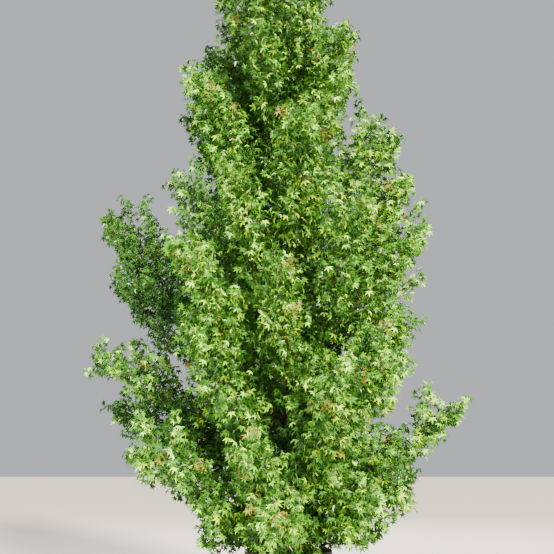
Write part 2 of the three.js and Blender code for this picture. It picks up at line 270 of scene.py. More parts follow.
# How leaves stand. On a shoot they begin at a share of its length, at a spacing, and end in a tuft
# of young ones. Pairs are the least and the most of what is dealt by leaf: stalks and sizes as
# shares of the leaf's length, how far blades hang, how far they face outwards and up, and how
# strongly they curl. The rest are shares of directions that are added up.
LEAVES = {
    "on_side_shoot": (0.12, 0.026),
    "on_sub_shoot": (0.16, 0.021),
    "tuft": 4,
    "sub_tuft": 2,
    "tuft_size": 0.72,
    "tuft_sizes": (0.7, 1.1),
    "tuft_youth": 0.7,
    "bronze_size": 0.55,
    "stalk": (0.55, 1.0),
    "size": (0.8, 1.16),
    "hang": (0.3, 1.05),
    "young_hang": 0.5,
    "stalk_across": 0.9,
    "stalk_follow": 0.55,
    "along_stalk": 0.5,
    "along_outward": 0.45,
    "along_twist": 0.6,
    "face_outward": (-0.2, 1),
    "face_up": (-0.3, 1),
    "face_away": 0.5,
    "face_turn": 2.2,
    "curl": (0.5, 1.4),
}

# The leaf properties that are dealt by spray, from the deepest painted shade through painted light
# and painted highlights to the young bronze tips.
LEAF_SHADES = (
    "shaded", "deep_green", "green", "bright_green", "yellow_green", "pale_green", "lit", "bronze"
)
BRONZE = len(LEAF_SHADES) - 1
LIT = BRONZE - 1
PALEST = LIT - 1

# How shades are dealt, as painted shade and light. A spray's comes from how deep it lies, painted
# shade dark at the trunk and light at the crown's skin, and a leaf's lies near its spray's. In
# sprays lighter than lit_over, a share of the leaves is painted lit through or palest, as painted
# light through the blade and painted highlights. Side shoots are lighter than the finer ones. Young
# bronze ones stand near the skin alone, on boughs that aren't painted as shaded.
SHADING = {
    "by_depth": (-0.4, 2.3),
    "by_spray": 3.4,
    "by_leaf": (-3.2, 1.2),
    "lit_over": 1,
    "lit_share": 0.22,
    "side_shoots": 0.6,
    "bronze_tufts": 0.15,
    "bronze_sprays": 0.04,
    "bronze_depth": 0.7,
    "shaded_tone": -0.8,
    "skin": 0.95,
    "least_radius": 0.12,
}

TIERS = 8

# The pot's details. A band has one half-height where it leaves the wall and one at its face.
POT = {
    "sides": 144,
    "edge": 0.002,
    "ring_over_drains": 0.07,
    "bands": (0.15, 0.33),
    "band_foot": 0.012,
    "band_face": 0.009,
    "band_proud": 0.003,
    "waist": 0.25,
    "drains": 4,
    "drain_sides": 32,
    "drill": 0.05,
}

# The mix: its mound's profile, from the wall to the rings round the trunk, and its crumbs.
MIX = {
    "sides": 120,
    "lower_ring": 0.2,
    "edge_drop": 0.012,
    "edge_ring": 0.01,
    "slope_radius": 0.25,
    "slope_rise": 0.003,
    "mound_radius": 0.14,
    "flat_radius": 0.08,
    "inset": 0.03,
    "skin": 0.002,
    "crumb_height": 0.008,
}

# Bark chips have ragged outlines of a few corners. Pairs are the least and the most that is dealt,
# and tilts are radians either way.
CHIP = {
    "seed": 71,
    "from_trunk": 0.03,
    "from_wall": 0.012,
    "over_edge": 0.001,
    "length": (0.006, 0.017),
    "breadth": (0.35, 0.8),
    "half_thickness": (0.0012, 0.0035),
    "rise": (0.2, 1.6),
    "tilts": (("X", 0.5), ("Y", 0.4)),
    "corners": 5,
    "ragged": (0.7, 1.15),
}

CHIP_BARKS = {
    "fresh_bark_chip": ("#2f1e12", "#573b26"),
    "weathered_bark_chip": ("#2b231c", "#574c41"),
    "dark_bark_chip": ("#1a110b", "#372619"),
}

# Reliefs: a name, the width of the swellings, and how far they are drawn out upwards.
CRUMBS = ("crumbs", 0.018, 1)
BARK_RIDGES = ("bark ridges", 0.016, 7)
BARK_LUMPS = ("bark lumps", 0.09, 2)
BOUGH_SWELLINGS = ("bough swellings", 0.05, 1)
TRUNK_SIDES = 40
RING_CROWDING = 1.5
FLAT_FOOT = 0.002

# A bough's root: its share of the full radius at its end inside the trunk, and how much it swells,
# where, as a share of the trunk's radius, and over what length.
COLLAR = {"root": 0.5, "swell": 0.45, "at": 1.3, "length": 0.04}

# Each light's kind, place and colour. They aim at the middle of the crown.
LIGHTS = {
    "key": ("SUN", (7.0, -13.0, 9.4), "#fff1d6"),
    "fill": ("AREA", (-8.0, -6.0, 4.0), "#eaf2ff"),
    "back": ("AREA", (2.0, 8.0, 8.0), "#fffaf0"),
}
LIGHT_AIM = Vector((0, 0, 3.0))
LAMP_WIDTH = 5.0
ROOM_COLOUR = "#eef1f4"
FLOOR_WIDTH = 120
FLOOR_DROP = 0.001
SENSOR_MILLIMETRES = 36


def lerp(a, b, share):
    return a + (b - a) * share


def profile_at(pairs, at):
    return float(np.interp(at, [pair[0] for pair in pairs], [pair[1] for pair in pairs]))


def random_from(seed):
    """The part source's seeded generator, so that the limbs of both are the same."""
    state = [seed]
    full = 0xFFFFFFFF

    def draw():
        state[0] = (state[0] + 0x6D2B79F5) & full
        mixed = ((state[0] ^ (state[0] >> 15)) * (1 | state[0])) & full
        mixed = ((mixed + (((mixed ^ (mixed >> 7)) * (61 | mixed)) & full)) & full) ^ mixed
        return ((mixed ^ (mixed >> 14)) & full) / 2**32

    return draw


def square_to(direction):
    """Two directions square to a shoot's line, and to each other."""
    reference = Vector((1, 0, 0)) if abs(direction.z) > NEAR_UPRIGHT else UP
    across = reference.cross(direction).normalized()
    return across, direction.cross(across).normalized()


def trunk_at(height):
    """The middle of the trunk at a height over the soil."""
    share = height / TRUNK["height"]
    swing = TRUNK["sway"] * math.sin(2 * math.pi * share)
    x = TRUNK["lean"][0] * share + swing
    y = TRUNK["lean"][1] * share + swing * TRUNK["sway_depth"]
    return Vector((x, y, SOIL_TOP + SEAT_GAP + height))


def trunk_radius(height):
    share = height / TRUNK["height"]
    taper = lerp(TRUNK["tip_radius"], TRUNK["radius"], (1 - share) ** TRUNK["taper_power"])
    return taper + TRUNK["flare"] * math.exp(-height / TRUNK["flare_height"])


class Line:
    """A limb's centre line, as points with their radii."""

    def __init__(self, points, radii):
        self.points = points
        self.radii = radii
        steps = [(b - a).length for a, b in zip(points, points[1:])]
        self.length = sum(steps)
        self.marks = np.concatenate([[0], np.cumsum(steps)]) / self.length

    def at(self, share):
        """The point and the direction at a share of the line's length."""
        i = int(np.searchsorted(self.marks, share, side="right")) - 1
        i = max(0, min(i, len(self.points) - 2))
        start, end = self.points[i], self.points[i + 1]
        part = (share - self.marks[i]) / (self.marks[i + 1] - self.marks[i])
        return start.lerp(end, part), (end - start).normalized()


def bent_line(root, control, tip, root_radius, tip_radius, count):
    """A quadratic curve from root to tip, drawn towards control."""
    points = []
    radii = []
    for i in range(count):
        share = i / (count - 1)
        inner = root.lerp(control, share)
        outer = control.lerp(tip, share)
        points.append(inner.lerp(outer, share))
        radii.append(lerp(root_radius, tip_radius, share))
    return Line(points, radii)


class Branch:
    """A limb's centre line, and what its shoots and leaves are dealt by."""

    def __init__(self, name, height, line, fullness, tone, seed):
        self.name = name
        self.height = height
        self.line = line
        self.fullness = fullness
        self.tone = tone
        self.random = random_from(seed)


def bough_branch(name, root_height, tip_height, azimuth, reach, fullness, tone, seed):
    """A bough and the stem that carries it on to its leafy end."""
    turn = math.radians(azimuth)
    outward = Vector((math.cos(turn), math.sin(turn), 0))
    root = trunk_at(root_height)
    leafy_end = root + outward * reach
    leafy_end.z = SOIL_TOP + tip_height
    length = (leafy_end - root).length - BRANCH["end_spray"]
    tip = root.lerp(leafy_end, length / (length + BRANCH["end_spray"]))
    control = root.lerp(tip, BRANCH["bend"])
    control.z = lerp(root.z, tip.z, BRANCH["sag"])
    root_radius = BRANCH["base_radius"] + BRANCH["radius_per_length"] * length
    radii = (root_radius, BRANCH["tip_radius"], BRANCH["shoot_radius"])
    bough = bent_line(root, control, tip, *radii[:2], BRANCH["bough_points"])
    heading = (tip - control).normalized().lerp((leafy_end - tip).normalized(), 0.5)
    stem_end = tip + heading.normalized() * BRANCH["end_spray"]
    middle = tip + (tip - control).normalized() * BRANCH["end_spray"] * 0.5
    stem = bent_line(tip, middle, stem_end, *radii[1:], BRANCH["stem_points"])
    line = Line(bough.points + stem.points[1:], bough.radii + stem.radii[1:])
    return Branch(name, tip_height, line, fullness, tone, seed)


def spiral_branches(rule):
    random = random_from(rule["seed"])
    made = []
    for i in range(rule["count"]):
        share = i / (rule["count"] - 1)
        tip_height = lerp(rule["lowest_tip"], rule["highest_tip"], share)
        turn = (rule["first_azimuth"] + i * math.degrees(GOLDEN_ANGLE)) % 360
        side = 0 if turn < 180 else 180
        clear = rule["side_clear"]
        azimuth = side + lerp(clear, 180 - clear, (turn - side) / 180)
        from_side = abs(math.sin(math.radians(azimuth)))
        full_reach = profile_at(SPREAD, tip_height)
        full_reach *= lerp(rule["side_reach"], rule["front_reach"], from_side)
        reach = full_reach * (1 - rule["reach_jitter"] * random())
        rise = reach * math.tan(math.radians(lerp(rule["low_rise"], rule["high_rise"], share)))
        root_height = max(tip_height - rise, rule["lowest_root"] + rule["root_step"] * i)
        seed = rule["branch_seed"] + i
        at = (root_height, tip_height, azimuth, reach)
        tone = lerp(*rule["tone"], share)
        made.append(bough_branch(f"{i + 1:02d}", *at, rule["fullness"], tone, seed))
    return made


def lobe_branches(lobes, seed):
    return [bough_branch(name, *at, seed + i) for i, (name, at) in enumerate(lobes.items())]


def leader_branch():
    """The leader carries the trunk on to the top of the tree."""
    root = trunk_at(TRUNK["height"])
    tip = root + UP * LEADER["length"]
    radii = (TRUNK["tip_radius"], BRANCH["shoot_radius"])
    line = bent_line(root, root.lerp(tip, 0.5), tip, *radii, LEADER["points"])
    height = TRUNK["height"] + LEADER["length"]
    return Branch("top", height, line, LEADER["fullness"], 0, LEADER["seed"])


def frame_branches():
    """The branches that the measured frame has too."""
    return [*spiral_branches(SPIRAL), *lobe_branches(LOBES, LOBE_SEED), leader_branch()]


def lighter_branches():
    """Those that the frame leaves to the scene."""
    light_lobes = lobe_branches(LIGHT_LOBES, LIGHT_LOBE_SEED)
    return [*spiral_branches(INFILL), *spiral_branches(SKIRT), *light_lobes]


def droop_at(share, rule):
    """How much less than higher up the shoots at the foot of the trunk lift."""
    until, most = rule.get("foot_droop", (0, 0))
    return most * (1 - share / until) if share < until else 0


def lowest_at(spot):
    """Shoots stay over the mix inside the pot's rim, and may hang lower beyond it."""
    inside = math.hypot(spot.x, spot.y) < POT_BOX[1].x + BEYOND_RIM
    return SOIL_TOP + OVER_MIX if inside else OVER_GROUND


def shoots_on(line, rule, random, fullness=1):
    """Shoots leave their parent by the golden angle, open less towards its end and turn upwards.
    One that turns up reaches less far out, by a third of its lift."""
    count = max(1, round(line.length * (1 - rule["from"]) / rule["spacing"]))
    made = []
    for i in range(count):
        share = lerp(rule["from"], 1, (i + 0.5) / count)
        root, along = line.at(share)
        across, beside = square_to(along)
        roll = i * GOLDEN_ANGLE + random() * ROLL_JITTER
        open_angle = math.radians(lerp(rule["root_angle"], rule["end_angle"], share))
        length = fullness * rule["length"] * profile_at(rule["lengths"], share)
        length *= lerp(*rule["spread"], random())
        aim = along * math.cos(open_angle)
        aim += across * math.sin(open_angle) * math.cos(roll)
        aim += beside * math.sin(open_angle) * math.sin(roll)
        lift = rule["lift"] - droop_at(share, rule)
        control = root + aim * length * 0.5
        tip = root + aim * length * (1 - abs(lift) / 3)
        tip.z += length * lift
        rise = max(lowest_at(control) - control.z, 0)
        control.z += rise
        tip.z = max(tip.z + rise, lowest_at(tip))
        made.append(
            bent_line(root, control, tip, rule["root_radius"], rule["tip_radius"], rule["points"])
        )
    return made


class Leaf:
    """Where one leaf stands: its stalk's root, and its blade's heart, direction, face, length,
    curl and shade. youth is 0 for a full-grown leaf and 1 for the youngest, which hang less."""

    __slots__ = ("root", "heart", "along", "facing", "length", "curl", "shade")

    def __init__(self, spot, stem, roll, size, youth, random, shade):
        outward = Vector((spot.x, spot.y, 0)).normalized()
        across, beside = square_to(stem)
        radial = across * math.cos(roll) + beside * math.sin(roll)
        stalk = (radial * LEAVES["stalk_across"] + stem * LEAVES["stalk_follow"]).normalized()
        self.length = size * lerp(*LEAVES["size"], random())
        reach = self.length * lerp(*LEAVES["stalk"], random())
        self.root = spot
        self.heart = spot + stalk * reach
        along = stalk * LEAVES["along_stalk"] + outward * LEAVES["along_outward"]
        along += radial.cross(stem) * (random() - 0.5) * LEAVES["along_twist"]
        along.z -= lerp(*LEAVES["hang"], random()) * (1 - LEAVES["young_hang"] * youth)
        self.along = along.normalized()
        facing = outward * lerp(*LEAVES["face_outward"], random())
        facing += UP * lerp(*LEAVES["face_up"], random())
        facing += radial * LEAVES["face_away"]
        facing += outward.cross(UP) * LEAVES["face_turn"] * (random() - 0.5)
        self.facing = facing.normalized()
        self.curl = lerp(*LEAVES["curl"], random())
        self.shade = shade


def leaf_shade(shade, random):
    """A leaf's own painted shade, near its spray's. Some in the light are painted lit through or
    palest, as painted light through the blade and painted highlights.
    """
    if shade == BRONZE:
        return BRONZE
    if shade > SHADING["lit_over"] and random() < SHADING["lit_share"]:
        return LIT if random() < 0.5 else PALEST
    return max(0, min(PALEST, shade + round(lerp(*SHADING["by_leaf"], random()))))


def leaves_on(line, where, random, leaf_length, shade, tuft):
    """Leaves stand along a shoot by the golden angle, with a tuft of young ones at its end."""
    first, spacing = where
    made = []
    count = max(1, round(line.length * (1 - first) / spacing))
    for i in range(count):
        share = lerp(first, 1, (i + 0.5) / count)
        spot, stem = line.at(share)
        roll = i * GOLDEN_ANGLE + random() * ROLL_JITTER
        size = leaf_length * lerp(1, LEAVES["tuft_size"], share**3)
        own_shade = leaf_shade(shade, random)
        made.append(Leaf(spot, stem, roll, size, 0, random, own_shade))
    spot, stem = line.at(1)
    young = shade if shade == BRONZE else min(PALEST, shade + 1)
    for i in range(tuft):
        roll = i * GOLDEN_ANGLE + random()
        size = leaf_length * (LEAVES["tuft_size"] * lerp(*LEAVES["tuft_sizes"], random()))
        made.append(Leaf(spot, stem, roll, size, LEAVES["tuft_youth"], random, young))
    return made


def bronze_tuft(line, random, leaf_length):
    """The youngest leaves of a strong shoot are small, upright and bronze."""
    spot, stem = line.at(1)
    size = leaf_length * LEAVES["bronze_size"]
    made = []
    for i in range(LEAVES["tuft"]):
        roll = i * GOLDEN_ANGLE + random()
        made.append(Leaf(spot, stem, roll, size, 1, random, BRONZE))
    return made


def spray_shade(depth, tone, random):
    """A spray's painted shade: deep inside the crown dark, at its skin light."""
    lightness = lerp(*SHADING["by_depth"], depth) + tone + SHADING["by_spray"] * (random() - 0.5)
    return max(0, min(PALEST, round(lightness)))


def crown_depth(spot):
    """0 at the trunk, 1 at the crown's skin at that height."""
    height = max(0.0, spot.z - SOIL_TOP)
    axis = trunk_at(min(height, TRUNK["height"]))
    away = math.hypot(spot.x - axis.x, spot.y - axis.y)
    skin = profile_at(SPREAD, min(height, SPREAD[-1][0])) * SHADING["skin"]
    return min(1.0, away / max(SHADING["least_radius"], skin))


def bears_bronze(share, depth, tone, random):
    """Whether a shoot is young and bronze."""
    chosen = random() < share
    return chosen and tone > SHADING["shaded_tone"] and depth > SHADING["bronze_depth"]


class Spray:
    """The shoots and leaves that grow from one parent limb."""

    def __init__(self, name, height, line, rule, random, fullness, tone, leaf_length):
        self.name = name
        self.height = height
        self.side_shoots = shoots_on(line, rule, random, fullness)
        self.sub_shoots = []
        self.leaves = []
        for shoot in self.side_shoots:
            depth = crown_depth(shoot.points[-1])
            shade = spray_shade(depth, tone + SHADING["side_shoots"], random)
            where = LEAVES["on_side_shoot"]
            self.leaves += leaves_on(shoot, where, random, leaf_length, shade, LEAVES["tuft"])
            if bears_bronze(SHADING["bronze_tufts"], depth, tone, random):
                self.leaves += bronze_tuft(shoot, random, leaf_length)
            for sub in shoots_on(shoot, SUB_SHOOTS, random):
                depth = crown_depth(sub.points[-1])
                young = bears_bronze(SHADING["bronze_sprays"], depth, tone, random)
                shade = BRONZE if young else spray_shade(depth, tone, random)
                where = LEAVES["on_sub_shoot"]
                self.sub_shoots.append(sub)
                self.leaves += leaves_on(sub, where, random, leaf_length, shade, LEAVES["sub_tuft"])


def grow_crown(leaf_length):
    """Every spray of the tree. Only those that stand for a node of the frame have a name."""
    limbs = [(branch.name, branch) for branch in frame_branches()]
    limbs += [(None, branch) for branch in lighter_branches()]
    sprays = []
    for name, branch in limbs:
        rest = (branch.random, branch.fullness, branch.tone, leaf_length)
        sprays.append(Spray(name, branch.height, branch.line, SIDE_SHOOTS, *rest))
    count = TRUNK_SHOOTS["trunk_points"]
    heights = [TRUNK["height"] * i / (count - 1) for i in range(count)]
    places = [trunk_at(height) for height in heights]
    line = Line(places, [trunk_radius(height) for height in heights])
    random = random_from(TRUNK_SHOOTS["seed"])
    sprays.append(Spray(None, None, line, TRUNK_SHOOTS, random, 1, 0, leaf_length))
    return sprays


# Meshes from arrays, for what there are many of.
def mesh_object(name, vertices, corners, sizes, material_index=None, smooth=True):
    """A new object from arrays: corner indices run on from face to face, and sizes counts them."""
    mesh = bpy.data.meshes.new(name)
    mesh.vertices.add(len(vertices))
    mesh.vertices.foreach_set("co", np.asarray(vertices, np.float32).ravel())
    mesh.loops.add(len(corners))
    mesh.loops.foreach_set("vertex_index", np.asarray(corners, np.int32))
    mesh.polygons.add(len(sizes))
    starts = np.concatenate([[0], np.cumsum(sizes)[:-1]])
    mesh.polygons.foreach_set("loop_start", starts.astype(np.int32))
    if material_index is not None:
        mesh.polygons.foreach_set("material_index", np.asarray(material_index, np.int32))
    mesh.polygons.foreach_set("use_smooth", np.full(len(sizes), smooth))
    mesh.update(calc_edges=True)
    mesh.validate()
    made = bpy.data.objects.new(name, mesh)
    bpy.context.collection.objects.link(made)
    return made


def tubes(lines, sides):
    """Rings and faces of many tapering tubes that all have the same number of points."""
    points = np.array([[tuple(p) for p in line.points] for line in lines])
    radii = np.array([line.radii for line in lines])
    along = np.gradient(points, axis=1)
    along /= np.linalg.norm(along, axis=2, keepdims=True)
    reference = np.where(np.abs(along[..., 2:3]) > NEAR_UPRIGHT, [1.0, 0, 0], [0, 0, 1.0])
    across = np.cross(reference, along)
    across /= np.linalg.norm(across, axis=2, keepdims=True)
    beside = np.cross(along, across)
    turn = np.arange(sides) * 2 * math.pi / sides
    ring = across[:, :, None] * np.cos(turn)[:, None] + beside[:, :, None] * np.sin(turn)[:, None]
    vertices = points[:, :, None] + ring * radii[:, :, None, None]
    count = points.shape[1]
    faces = []
    for i in range(count - 1):
        for k in range(sides):
            a, b = i * sides + k, i * sides + (k + 1) % sides
            faces.append((a, b, b + sides, a + sides))
    root_end = tuple(range(sides - 1, -1, -1))
    tip_end = tuple((count - 1) * sides + k for k in range(sides))
    pattern = np.array([c for face in faces for c in face] + [*root_end, *tip_end])
    sizes = np.array([4] * len(faces) + [sides, sides])
    offsets = np.arange(len(lines)) * count * sides
    corners = (pattern[None] + offsets[:, None]).ravel()
    return vertices.reshape(-1, 3), corners, np.tile(sizes, len(lines))


def leaf_template():
    """One blade's corners in its own plane, each with its lift, and its triangles round the heart."""
    corners = [(0.0, 0.0, 0.0)]
    turn, reach = math.radians(LEAF["notch"][0]), LEAF["notch"][1]
    corners.append((reach * math.cos(turn), -reach * math.sin(turn), LEAF["notch_lift"]))
    lobes = LEAF["lobes"]
    for i, (angle, length) in enumerate(lobes):
        aim = math.radians(angle)
        corners.append((length * math.cos(aim), length * math.sin(aim), LEAF["tip_drop"]))
        if i < len(lobes) - 1:
            middle = math.radians((angle + lobes[i + 1][0]) / 2)
            reach = LEAF["sinus"]
            corners.append((reach * math.cos(middle), reach * math.sin(middle), LEAF["sinus_lift"]))
    corners.append((corners[1][0], -corners[1][1], corners[1][2]))
    triangles = [(0, i, i + 1) for i in range(1, len(corners) - 1)]
    return np.array(corners), np.array(triangles)


def leaf_arrays(leaves):
    """The vertices, triangles and shades of many leaves, each a blade and its flat stalk."""
    blade, blade_faces = leaf_template()
    heart, root, along, facing = (
        np.array([tuple(getattr(leaf, name)) for leaf in leaves])
        for name in ("heart", "root", "along", "facing")
    )
    length = np.array([leaf.length for leaf in leaves])
    curl = np.array([leaf.curl for leaf in leaves]) * LEAF["curl"]
    side = np.cross(facing, along)
    side /= np.linalg.norm(side, axis=1, keepdims=True)
    normal = np.cross(along, side)
    spread = (blade[:, 0] ** 2 + blade[:, 1] ** 2)[None]
    lift = blade[None, :, 2] - curl[:, None] * spread
    blades = heart[:, None]
    blades = blades + along[:, None] * (blade[:, 0, None] * length[:, None, None])
    blades = blades + side[:, None] * (blade[:, 1, None] * length[:, None, None])
    blades = blades + normal[:, None] * (lift * length[:, None])[..., None]
    across = np.cross(heart - root, normal)
    across *= STALK_RADIUS / np.linalg.norm(across, axis=1, keepdims=True)
    stalks = np.stack([root - across, root + across, heart + across, heart - across], axis=1)
    vertices = np.concatenate([blades, stalks], axis=1)
    first = len(blade)
    strip = np.array([(first, first + 1, first + 2), (first, first + 2, first + 3)])
    pattern = np.concatenate([blade_faces, strip])
    offsets = np.arange(len(leaves)) * vertices.shape[1]
    triangles = pattern[None] + offsets[:, None, None]
    shade = np.array([leaf.shade for leaf in leaves])
    kinds = np.repeat(shade[:, None], len(pattern), axis=1)
    kinds[:, len(blade_faces):] = len(LEAF_SHADES)
    return vertices.reshape(-1, 3), triangles.reshape(-1, 3), kinds.ravel()


# Materials
def linear(colour):
    """An sRGB hex colour as linear values. A property's colour is linear already."""
    if not isinstance(colour, str):
        return tuple(colour)
    shades = [int(colour[i : i + 2], 16) / 255 for i in (1, 3, 5)]
    return (*[s / 12.92 if s <= 0.04045 else ((s + 0.055) / 1.055) ** 2.4 for s in shades], 1.0)


def add_node(material, kind, settings=None, links=None):
    """Adds one node to a material, with its settings and the sockets that feed it."""
    node = material.node_tree.nodes.new(kind)
    for key, value in (settings or {}).items():
        if isinstance(key, str) and hasattr(node, key):
            setattr(node, key, value)
        else:
            node.inputs[key].default_value = value
    for key, source in (links or {}).items():
        material.node_tree.links.new(source, node.inputs[key])
    return node


def new_material(name, colour, roughness, ior=1.45, specular=0.5):
    """A material with one Principled shader and its uniform values."""
    material = bpy.data.materials.new(name)
    material.use_nodes = True
    shader = material.node_tree.nodes["Principled BSDF"]
    shader.inputs["Base Color"].default_value = linear(colour)
    shader.inputs["Roughness"].default_value = roughness
    shader.inputs["IOR"].default_value = ior
    shader.inputs["Specular IOR Level"].default_value = specular
    material.diffuse_color = linear(colour)
    return material, shader


def grained(name, colour, roughness, tones, colours, raised, depth, ior=1.45, specular=0.5):
    """A material mottled and raised in grains of a real size, on Object coordinates in metres.

    Grains are a width, a number of finer octaves and a stretch along X, Y and Z, where less than 1
    draws them out. tones are those of the colours, which stand at places on a ramp, and raised are
    those of the relief, which are added up. depth is the relief's height and its strength.
    """
    material, shader = new_material(name, colour, roughness, ior, specular)
    links = material.node_tree.links
    place = add_node(material, "ShaderNodeTexCoord")
    patterns = []
    for width, octaves, stretch in (tones, *raised):
        scale = tuple(axis / width for axis in stretch)
        turned = add_node(
            material, "ShaderNodeMapping", {"Scale": scale}, {"Vector": place.outputs["Object"]}
        )
        settings = {"Scale": 1.0, "Detail": octaves}
        feeds = {"Vector": turned.outputs["Vector"]}
        patterns.append(add_node(material, "ShaderNodeTexNoise", settings, feeds).outputs["Fac"])
    mottle, *heights = patterns
    ramp = add_node(material, "ShaderNodeValToRGB", links={"Fac": mottle})
    elements = ramp.color_ramp.elements
    while len(elements) < len(colours):
        elements.new(0.5)
    for element, (position, shade) in zip(elements, colours):
        element.position = position
        element.color = linear(shade)
    links.new(ramp.outputs["Color"], shader.inputs["Base Color"])
    height = heights[0]
    for finer in heights[1:]:
        both = add_node(material, "ShaderNodeMath", {"operation": "ADD"}, {0: height, 1: finer})
        height = both.outputs["Value"]
    relief = add_node(
        material, "ShaderNodeBump", {"Distance": depth[0], "Strength": depth[1]}, {"Height": height}
    )
    links.new(relief.outputs["Normal"], shader.inputs["Normal"])
    return material, shader, mottle


def black_polypropylene(colour):
    """Injection-moulded black polypropylene: matt and finely grained, with marks where water ran.
    The mould's grain is about 0.3 mm; it is drawn at 1.6 mm so that it shows."""
    tones = (0.045, 8.0, (1, 1, 0.3))
    colours = ((0.48, colour), (0.8, "#2b2824"))
    grain = ((0.0016, 2.0, (1, 1, 1)),)
    gloss = {"ior": 1.49, "specular": 0.28}
    material, shader, marks = grained(
        "black_polypropylene", colour, 0.5, tones, colours, grain, (0.0004, 0.5), **gloss
    )
    rough = add_node(
        material, "ShaderNodeMapRange", {"To Min": 0.42, "To Max": 0.66}, {"Value": marks}
    )
    material.node_tree.links.new(rough.outputs["Result"], shader.inputs["Roughness"])
    return material


def composted_bark(colour):
    """Potting mix of composted bark and fibre: nearly black when moist, in dull crumbs of 5 to
    9 mm."""
    tones = (0.009, 6.0, (1, 1, 1))
    colours = ((0.3, "#100a06"), (0.5, colour), (0.72, "#43311f"))
    crumbs = ((0.005, 5.0, (1, 1, 1)),)
    return grained("composted_bark", colour, 0.93, tones, colours, crumbs, (0.004, 1.0))[0]


def bark_chip(name, dark, light):
    """Pine bark chips in the mix: torn, with fibres of 6 mm, red-brown where fresh and grey where
    dry."""
    fibres = (0.006, 4.0, (1, 1, 0.3))
    colours = ((0.3, dark), (0.7, light))
    return grained(name, dark, 0.85, fibres, colours, (fibres,), (0.001, 0.8))[0]


def furrowed_bark(name, dark, middle, light, furrow, upward):
    """Sweetgum bark: grey-brown, in narrow corky ridges with darker furrows. Up the trunk they
    run long, and on the boughs, which lean every way, they are broken up."""
    ridges = (furrow, 6.0, (1, 1, upward))
    fine = (furrow / 4, 5.0, (1, 1, math.sqrt(upward)))
    colours = ((0.32, dark), (0.5, middle), (0.68, light))
    depth = (furrow * 0.4, 0.8)
    return grained(name, middle, 0.88, ridges, colours, (ridges, fine), depth)[0]


def shoot_bark(colour):
    """This year's and last year's shoots: smooth, olive to brown, with raised dots of 2 mm."""
    patches = (0.05, 3.0, (1, 1, 1))
    colours = ((0.35, "#3d5220"), (0.55, colour), (0.75, "#5f5233"))
    dots = ((0.002, 2.0, (1, 1, 1)),)
    return grained("shoot_bark", colour, 0.6, patches, colours, dots, (0.0004, 0.6))[0]


def leaf_blade(name, colour, roughness):
    """A leaf's upper side is waxy and glossy over its green, so it glints where it faces the light.
    Sprays are dealt one of several greens, so each blade's colour is plain."""
    return new_material(name, colour, roughness, specular=0.45)[0]


# Properties
def colour_property(name, description, default):
    return bpy.props.FloatVectorProperty(
        name=name, description=description, subtype="COLOR", size=4, min=0, max=1,
        default=linear(default),
    )


def number_property(name, description, default, **rest):
    return bpy.props.FloatProperty(name=name, description=description, default=default, **rest)


def length_property(name, description, default, low, high):
    return number_property(name, description, default, min=low, max=high, unit="LENGTH")


def count_property(name, description, default, low, high):
    return bpy.props.IntProperty(
        name=name, description=description, default=default, min=low, max=high
    )


class SweetgumPotProperties(bpy.types.PropertyGroup):
    """The nursery pot and what fills it."""

    foot_radius: length_property(
        "Foot radius", "Outer radius of the flat underside", 0.285, 0.1, 0.6
    )
    neck_radius: length_property(
        "Neck radius", "Outer radius that the wall's slope would have at the top", 0.335, 0.1, 0.7
    )
    rim_radius: length_property("Rim radius", "Outer radius of the rim", POT_BOX[1].x, 0.1, 0.7)
    height: length_property("Height", "Height of the rim over the ground", POT_BOX[1].z, 0.1, 1)
    rim_depth: length_property("Rim depth", "Height of the rim's band", 0.044, 0.01, 0.1)
    wall: length_property("Wall", "Thickness of the wall", 0.009, 0.002, 0.02)
    floor: length_property("Floor", "Thickness of the floor", 0.012, 0.002, 0.03)
    drain_radius: length_property("Drain hole", "Radius of a drain hole", 0.015, 0.005, 0.03)
    drain_height: length_property("Drain height", "Height of the drain holes", 0.034, 0.02, 0.1)
    chips: count_property("Bark chips", "Chips that lie on the mix", 1500, 0, 4000)
    plastic: colour_property("Plastic", "Colour of the pot", "#141516")
    mix: colour_property("Potting mix", "Colour of the moist mix", "#22170f")


class SweetgumTreeProperties(bpy.types.PropertyGroup):
    """The trunk, the boughs and the shoots."""

    trunk_rings: count_property("Trunk rings", "Rings up the trunk", 150, 20, 400)
    relief: length_property("Bark relief", "Depth of the trunk's furrows", 0.009, 0, 0.03)
    bough_relief: length_property("Bough relief", "Depth of the boughs' swellings", 0.0016, 0, 0.01)
    bark: colour_property("Bark", "Colour of the trunk's ridges", "#3a322a")
    bough: colour_property("Boughs", "Colour of the boughs' bark", "#352f24")
    shoot: colour_property("Shoots", "Colour of the thin shoots", "#4f5c28")


class SweetgumLeafProperties(bpy.types.PropertyGroup):
    """The leaves: their size, gloss and the greens, with their painted shade and light, that are
    dealt to the sprays.
    """

    length: length_property(
        "Leaf length", "From the stalk's end to the tip of the middle lobe", 0.049, 0.02, 0.2
    )
    roughness: number_property("Roughness", "Lower is glossier", 0.32, min=0, max=1)
    stalk: colour_property("Stalks", "Colour of the leaf stalks", "#93a547")
    # From shaded to yellow_green the greens are painted shade and light: darker deep in the crown,
    # lighter at its skin. pale_green is a painted highlight for leaves in full light, and young ones;
    # lit is painted light shining through a blade.
    shaded: colour_property("Shaded", "Leaves in the crown's darkest inside", "#1f4c0e")
    deep_green: colour_property("Deep green", "Leaves well inside the crown", "#2b6014")
    green: colour_property("Green", "Full-grown leaves", "#3f7420")
    bright_green: colour_property("Bright green", "Leaves near the crown's skin", "#509222")
    yellow_green: colour_property("Yellow-green", "Leaves at the crown's skin", "#68ae20")
    pale_green: colour_property("Pale green", "Young leaves in full light", "#a8e654")
    lit: colour_property("Lit through", "Leaves with the light behind them", "#a8d81c")
    bronze: colour_property("Bronze", "The youngest leaves at a strong shoot's tip", "#827e2a")


